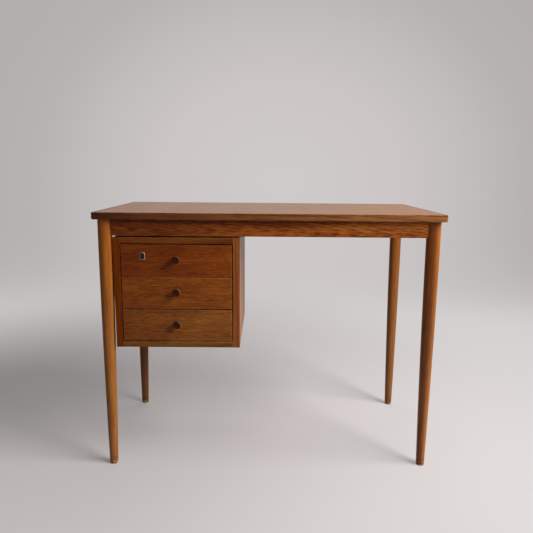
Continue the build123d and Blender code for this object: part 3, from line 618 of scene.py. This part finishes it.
class DESK_OT_case(bpy.types.Operator):
    """Finish the drawer case: veneered sides, top and bottom, plywood back, dowels and runners"""

    bl_idname = "desk.finish_case"
    bl_label = "Finish the drawer case"

    def execute(self, context):
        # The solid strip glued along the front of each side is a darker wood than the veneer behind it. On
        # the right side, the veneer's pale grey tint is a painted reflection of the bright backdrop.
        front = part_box("case_side_left")[0].y
        glue_line, veneer = front + 0.4 * MM, front + 1.0 * MM
        teak("case_side_left", "Z", heart=(0.0, 0.05, 0.12), turn=(0.0, 0.0, 0.05), contrast=0.85,
             sheen=0.1, worn_width=0.5 * MM, worn_tone=(0.7, 0.6, 0.3),
             drifts=[Drift("Y", ((glue_line, (0.62, 0.53, 0.12)), (veneer, (0.9, 1.0, 0.9))), 0.0)])
        teak("case_side_right", "Z", heart=(0.0, 0.02, 0.09), turn=(0.0, 0.0, 0.06), contrast=0.85,
             sheen=0.45, worn_width=0.5 * MM, worn_tone=(0.9, 0.85, 0.5),
             drifts=[Drift("Y", ((glue_line, (0.88, 0.92, 0.15)), (veneer, (1.25, 2.0, 2.9))), 0.0)])
        teak("case_top", "X", heart=(0.0, 0.09, 0.05), contrast=0.8, tone=(0.69, 0.82, 0.8))
        teak("case_bottom", "X", heart=(0.0, 0.07, 0.08), contrast=0.8, tone=(0.77, 1.2, 1.9))
        plywood("case_back", "Z", heart=(0.0, 0.03, 0.05), turn=(0.0, 0.02, 0.02))
        beech("case_dowels", "X")
        for number in (1, 2, 3):
            for side in ("left", "right"):
                beech(f"runner_{number}_{side}", "Y", heart=(0.0, 0.03, 0.03 + 0.01 * number))
        return {"FINISHED"}


class DESK_OT_drawers(bpy.types.Operator):
    """Finish the three drawers: teak fronts, beech boxes, plywood bottoms and turned knobs"""

    bl_idname = "desk.finish_drawers"
    bl_label = "Finish the drawers"

    def execute(self, context):
        # Each front is cut from its own veneer, the top one the reddest and the bottom one the palest.
        fronts = {
            1: {"heart": (0.0, 0.09, 0.16), "turn": (0.0, 0.01, 0.0), "tone": (0.67, 0.6, 0.3)},
            2: {"heart": (0.0, 0.11, -0.14), "turn": (0.0, -0.012, 0.02), "tone": (0.8, 0.91, 0.95),
                "cut": (0.3, 0.0, 0.02)},
            3: {"heart": (0.0, 0.08, 0.13), "turn": (0.0, 0.02, 0.02), "tone": (0.77, 1.03, 1.7),
                "cut": (-0.2, 0.0, 0.01)},
        }
        # The fronts are painted darker to their left and lighter to their right: painted light that falls off
        # away from the lamps.
        painted_light_falloff = Drift("X", ((-0.4, (0.88, 0.78, 0.68)), (-0.12, (1.1, 1.17, 1.2))), 0.1)
        # The knobs are nearly black, with a paler rim where it has rubbed through.
        for number, look in fronts.items():
            drawer = f"drawer_{number}"
            teak(f"{drawer}_front", "X", ring=3.6 * MM, contrast=0.66, fine=1.3, short=3.5, drifts=[painted_light_falloff],
                 **look)
            teak(f"{drawer}_knob", "Y", heart=(0.0, 0.012, 0.009), ring=3 * MM, wobble=1.5 * MM,
                 tone=(0.14, 0.12, 0.13), gloss=0.36, sheen=0.1, near_edge=rim_distance, worn_width=0.8 * MM,
                 worn_tone=(1.1, 0.95, 0.85))
            for side in ("left", "right"):
                beech(f"{drawer}_side_{side}", "Y", cut=(0.0, 0.1 * number, 0.0),
                      heart=(0.0, 0.03, 0.09 + 0.01 * number))
            beech(f"{drawer}_back", "X", cut=(0.1 * number, 0.0, 0.0), heart=(0.0, 0.05, 0.08))
            plywood(f"{drawer}_bottom", "X", cut=(0.2 * number, 0.05 * number, 0.0), heart=(0.0, 0.02, 0.06),
                    turn=(0.0, 0.02, 0.02))
        return {"FINISHED"}


class DESK_OT_lock(bpy.types.Operator):
    """Finish the lock of the top drawer: its case, its bolt and the plate round the keyhole"""

    bl_idname = "desk.finish_lock"
    bl_label = "Finish the lock"

    def execute(self, context):
        metals = context.scene.desk_metals
        self.press_plate(metals)
        # Stamped sheet steel: a plain grey with the lines of its rolling, and a dull gleam.
        dress("lock_case", metal("stamped_steel", metals.steel, 0.5, 0.42, RUBBED_ALONG_X))
        # Drawn brass: a warm yellow, brighter than the steel, with the marks of the file along it.
        dress("lock_bolt", metal("drawn_brass", metals.brass, 0.5, 0.33, RUBBED_ALONG_Z))
        return {"FINISHED"}

    def arched_loop(self, mesh, centre, radius, half_width, foot):
        """A round-headed outline facing Y: most of a circle, two straight sides down from it, and a foot."""
        known = set(mesh.edges)
        swing = math.asin(half_width / radius)
        right = mesh.verts.new(centre + radius * Vector((math.sin(swing), 0.0, -math.cos(swing))))
        spun = bmesh.ops.spin(mesh, geom=[right], cent=centre, axis=(0.0, -1.0, 0.0),
                              angle=2 * (math.pi - swing), steps=28, use_duplicate=False)["geom_last"]
        left = points_of(spun)[0]
        feet = bmesh.ops.extrude_vert_indiv(mesh, verts=[right, left])["verts"]
        bmesh.ops.translate(mesh, verts=feet, vec=(0.0, 0.0, foot - right.co.z))
        mesh.edges.new(feet)
        return [edge for edge in mesh.edges if edge not in known]

    def press_plate(self, metals):
        """The plate pressed round the keyhole: a rounded rim, a sunk field, and the keyhole through it."""
        trim = Vector((1.0 * MM, 0.0, 1.2 * MM))
        wall = 1.0 * MM
        rim = ((0.2, 0.25), (0.3, 0.15), (0.4, 0.0), (0.3, -0.15), (0.3, -0.5))  # inwards and outwards, in mm
        hole_radius, slot_half_width, slot_foot = 3.0 * MM, 1.4 * MM, 11.0 * MM
        low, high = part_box("escutcheon")
        low, high = low + trim, high - trim
        half_width = (high.x - low.x) / 2
        head = Vector(((low.x + high.x) / 2, high.y, high.z - half_width))

        mesh = bmesh.new()
        outline = self.arched_loop(mesh, head, half_width, half_width, low.z)
        sheet = bmesh.ops.contextual_create(mesh, geom=outline)["faces"]
        lifted = bmesh.ops.extrude_face_region(mesh, geom=sheet)["geom"]
        bmesh.ops.translate(mesh, verts=points_of(lifted), vec=(0.0, -wall, 0.0))
        behind = [face for face in mesh.faces if face.calc_center_median().y > high.y - 0.1 * MM]
        bmesh.ops.delete(mesh, geom=behind, context="FACES_ONLY")
        bmesh.ops.recalc_face_normals(mesh, faces=mesh.faces[:])
        face = min(mesh.faces, key=lambda f: f.calc_center_median().y)
        if face.normal.y > 0:
            bmesh.ops.reverse_faces(mesh, faces=mesh.faces[:])
        for inwards, outwards in rim:
            bmesh.ops.inset_region(mesh, faces=[face], thickness=inwards * MM, depth=outwards * MM,
                                   use_even_offset=True, use_boundary=True)
        field = list(face.edges)
        sunk = face.verts[0].co.y
        bmesh.ops.delete(mesh, geom=[face], context="FACES_ONLY")
        keyhole = self.arched_loop(mesh, Vector((head.x, sunk, head.z)), hole_radius, slot_half_width,
                                   head.z - slot_foot)
        bmesh.ops.triangle_fill(mesh, edges=field + keyhole, use_beauty=True, use_dissolve=False)
        inside = bmesh.ops.extrude_edge_only(mesh, edges=keyhole)["geom"]
        bmesh.ops.translate(mesh, verts=points_of(inside), vec=(0.0, high.y - sunk, 0.0))
        rear = [edge for edge in mesh.edges if all(v.co.y > high.y - 0.01 * MM for v in edge.verts)]
        bmesh.ops.triangle_fill(mesh, edges=rear, use_beauty=True, use_dissolve=False)
        bmesh.ops.remove_doubles(mesh, verts=mesh.verts[:], dist=0.001 * MM)
        bmesh.ops.recalc_face_normals(mesh, faces=mesh.faces[:])

        plate = new_object("keyhole_plate", mesh)
        plate.data.materials.append(
            plated("nickel_plate_painted_dark", low, high, metals.nickel, metals.tarnish_and_reflection, 0.3))
        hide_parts("escutcheon")
        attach(plate, "drawer_1")


class DESK_OT_stage(bpy.types.Operator):
    """Set the desk on studio paper, under a soft key light, before a camera"""

    bl_idname = "desk.set_stage"
    bl_label = "Set the stage"

    def execute(self, context):
        scene, stage = context.scene, context.scene.desk_stage
        scene.view_settings.view_transform = "Standard"
        self.hang_paper(stage)
        self.place_camera(scene, stage)
        self.light(scene, stage)
        self.fill_world(scene, stage)
        return {"FINISHED"}

    def hang_paper(self, stage):
        """One sheet of paper: floor, sweep and wall, pulled from a single bent line."""
        half_width, front, wall, sweep, height = 5.0, -3.2, 2.9, 1.1, 4.2
        mesh = bmesh.new()
        corner = mesh.verts.new((0.0, front, 0.0))
        run = mesh.verts.new((0.0, wall - sweep, 0.0))
        mesh.edges.new((corner, run))
        bmesh.ops.spin(mesh, geom=[run], cent=(0.0, wall - sweep, sweep), axis=(1.0, 0.0, 0.0), angle=QUARTER,
                       steps=32, use_duplicate=False)
        top = max(mesh.verts, key=lambda v: (v.co.z, v.co.y))
        lifted = bmesh.ops.extrude_vert_indiv(mesh, verts=[top])["verts"]
        bmesh.ops.translate(mesh, verts=lifted, vec=(0.0, 0.0, height - sweep))
        bmesh.ops.translate(mesh, verts=mesh.verts[:], vec=(-half_width, 0.0, 0.0))
        wide = bmesh.ops.extrude_edge_only(mesh, edges=mesh.edges[:])["geom"]
        bmesh.ops.translate(mesh, verts=points_of(wide), vec=(2 * half_width, 0.0, 0.0))
        bmesh.ops.recalc_face_normals(mesh, faces=mesh.faces[:])
        floor = min(mesh.faces, key=lambda f: f.calc_center_median().z)
        if floor.normal.z < 0:
            bmesh.ops.reverse_faces(mesh, faces=mesh.faces[:])
        paper = new_object("studio_paper", mesh)
        paper.data.shade_smooth()
        paper.data.materials.append(self.colour_paper(stage))

    def colour_paper(self, stage):
        """Matt paper that takes the desk's shadow. Away from the desk it glows instead with painted light,
        which falls off evenly and ends as the world's."""
        made, tree = new_material("matt_studio_paper")
        where = add(tree, "ShaderNodeTexCoord").outputs["Object"]
        floor_fall, wall_fall = (
            [(spot, shade(linear(colour))) for spot, colour in fall] + [(1.0, shade(stage.far_paper))]
            for fall in (FLOOR_FALL, WALL_FALL))
        # The floor's painted light falls off all round the desk, from a metre out.
        off = add(tree, "ShaderNodeMapRange", {
            "Value": distance(tree, where, (0.1, 0.3, 0.3)), "From Min": 1.0, "From Max": 4.2})
        floor = add(tree, "ShaderNodeValToRGB", {0: off}, stops=floor_fall)
        # The wall's painted light is palest behind the desk, and falls off to its sides and more quickly to
        # its top.
        off = add(tree, "ShaderNodeMapRange", {
            "Value": distance(tree, where, (0.13, 0.0, 0.77), (1.0, 0.0, 1.24)), "From Max": 2.5})
        wall = add(tree, "ShaderNodeValToRGB", {0: off}, stops=wall_fall)
        # The sweep between them blends one into the other.
        back = add(tree, "ShaderNodeSeparateXYZ", {0: where}).outputs["Y"]
        back = add(tree, "ShaderNodeMapRange", {"Value": back, "From Min": 1.2, "From Max": 2.7},
                   interpolation_type="SMOOTHSTEP")
        pale = add(tree, "ShaderNodeMix", {"Factor": back, "A": floor, "B": wall}, data_type="RGBA")
        glow = add(tree, "ShaderNodeEmission", {"Color": pale, "Strength": 1.0})
        # Only the lamps' light shows a shadow, and that has most of the share near the drawers.
        lit = add(tree, "ShaderNodeBsdfDiffuse", {"Color": shade(stage.paper)})
        share = add(tree, "ShaderNodeMapRange", {
            "Value": distance(tree, where, (-0.5, 0.3, 0.0), (1.0, 1.0, 0.0)),
            "From Min": 0.5, "From Max": 2.1, "To Min": 0.22, "To Max": 1.0,
        }, interpolation_type="SMOOTHSTEP")
        share = add(tree, "ShaderNodeMath", {0: share, 1: self.seen(tree)}, operation="MULTIPLY")
        upper = add(tree, "ShaderNodeMixShader", {0: share, 1: lit, 2: glow})
        # From below the sheet isn't there, so that the underside of the desk can be looked at.
        under = add(tree, "ShaderNodeNewGeometry").outputs["Backfacing"]
        clear = add(tree, "ShaderNodeBsdfTransparent")
        mixed = add(tree, "ShaderNodeMixShader", {0: under, 1: upper, 2: clear})
        add(tree, "ShaderNodeOutputMaterial", {"Surface": mixed})
        return made

    def seen(self, tree):
        """1 for what the camera, a gloss or a clear piece sees, and 0 for light that falls on the desk."""
        path = add(tree, "ShaderNodeLightPath").outputs
        seen = add(tree, "ShaderNodeMath", {0: path["Is Camera Ray"], 1: path["Is Glossy Ray"]},
                   operation="MAXIMUM")
        return add(tree, "ShaderNodeMath", {0: seen, 1: path["Is Transmission Ray"]}, operation="MAXIMUM")

    def place_camera(self, scene, stage):
        """The camera, from where it stands and how far it looks down, turns right and leans."""
        down, right, lean = stage.camera_turn
        level = Vector((math.sin(right), math.cos(right), 0.0))
        ahead = level * math.cos(down) - Vector((0.0, 0.0, math.sin(down)))
        side = ahead.cross(Vector((0.0, 0.0, 1.0))).normalized()
        up = side.cross(ahead)
        side, up = (side * math.cos(lean) + up * math.sin(lean), up * math.cos(lean) - side * math.sin(lean))
        data = bpy.data.cameras.new("camera")
        data.lens, data.sensor_width, data.shift_y = stage.lens, 36.0, stage.camera_shift
        camera = bpy.data.objects.new("camera", data)
        turned = Matrix((side, up, -ahead)).transposed().to_4x4()
        camera.matrix_world = Matrix.Translation(stage.camera_place) @ turned
        scene.collection.objects.link(camera)
        scene.camera = camera

    def light(self, scene, stage):
        """Round soft lamps: where each stands, what it is aimed at, its width, and its power."""
        for name, place, aim, size, power in (
                ("key_light", (1.75, -0.9, 2.0), (0.0, 0.0, 0.3), 1.5, stage.key_power),
                ("side_light", (2.3, -2.2, 1.9), (-0.1, -0.1, 0.5), 1.2, stage.side_power),
                ("overhead", (-0.9, -0.2, 3.6), (-0.4, 0.0, 0.0), 2.2, stage.overhead_power),
                ("wall_light", (0.0, 1.3, 3.6), (0.0, 2.9, 1.0), 1.6, stage.wall_power)):
            data = bpy.data.lights.new(name, "AREA")
            data.shape, data.size, data.energy = "DISK", size, power
            lamp = bpy.data.objects.new(name, data)
            lamp.location = place
            lamp.visible_camera = False
            lamp.rotation_euler = (Vector(aim) - Vector(place)).to_track_quat("-Z", "Y").to_euler()
            scene.collection.objects.link(lamp)

    def fill_world(self, scene, stage):
        """A faint even light on the desk, and far paper wherever the sheet ends."""
        world = bpy.data.worlds.new("studio")
        world.use_nodes = True
        tree = world.node_tree
        tree.nodes.clear()
        even = add(tree, "ShaderNodeBackground", {"Color": (1.0, 1.0, 1.0, 1.0), "Strength": stage.sky})
        pale = add(tree, "ShaderNodeBackground", {"Color": shade(stage.far_paper), "Strength": 1.0})
        mixed = add(tree, "ShaderNodeMixShader", {0: self.seen(tree), 1: even, 2: pale})
        add(tree, "ShaderNodeOutputWorld", {"Surface": mixed})
        scene.world = world


class DESK_PT_finishes(bpy.types.Panel):
    """Lists the desk's finishes and its stage"""

    bl_idname = "DESK_PT_finishes"
    bl_label = "Writing desk"
    bl_space_type = "VIEW_3D"
    bl_region_type = "UI"
    bl_category = "Desk"

    def draw(self, context):
        for operator in OPERATORS:
            self.layout.operator(operator.bl_idname)
        for group in (context.scene.desk_woods, context.scene.desk_metals, context.scene.desk_stage):
            box = self.layout.box()
            for name in group.__annotations__:
                box.prop(group, name)


OPERATORS = (DESK_OT_top, DESK_OT_frame, DESK_OT_legs, DESK_OT_case, DESK_OT_drawers, DESK_OT_lock,
             DESK_OT_stage)
GROUPS = {"desk_woods": DeskWoods, "desk_metals": DeskMetals, "desk_stage": DeskStage}


def register():
    for made in (*GROUPS.values(), *OPERATORS, DESK_PT_finishes):
        bpy.utils.register_class(made)
    for name, group in GROUPS.items():
        setattr(bpy.types.Scene, name, PointerProperty(type=group))


def unregister():
    for name in GROUPS:
        delattr(bpy.types.Scene, name)
    for made in (DESK_PT_finishes, *reversed(OPERATORS), *reversed(tuple(GROUPS.values()))):
        bpy.utils.unregister_class(made)


def main():
    """Finishes the desk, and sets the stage."""
    register()
    bpy.ops.desk.finish_top()
    bpy.ops.desk.finish_frame()
    bpy.ops.desk.finish_legs()
    bpy.ops.desk.finish_case()
    bpy.ops.desk.finish_drawers()
    bpy.ops.desk.finish_lock()
    bpy.ops.desk.set_stage()
    bpy.context.view_layer.update()


if __name__ == "__main__":
    main()
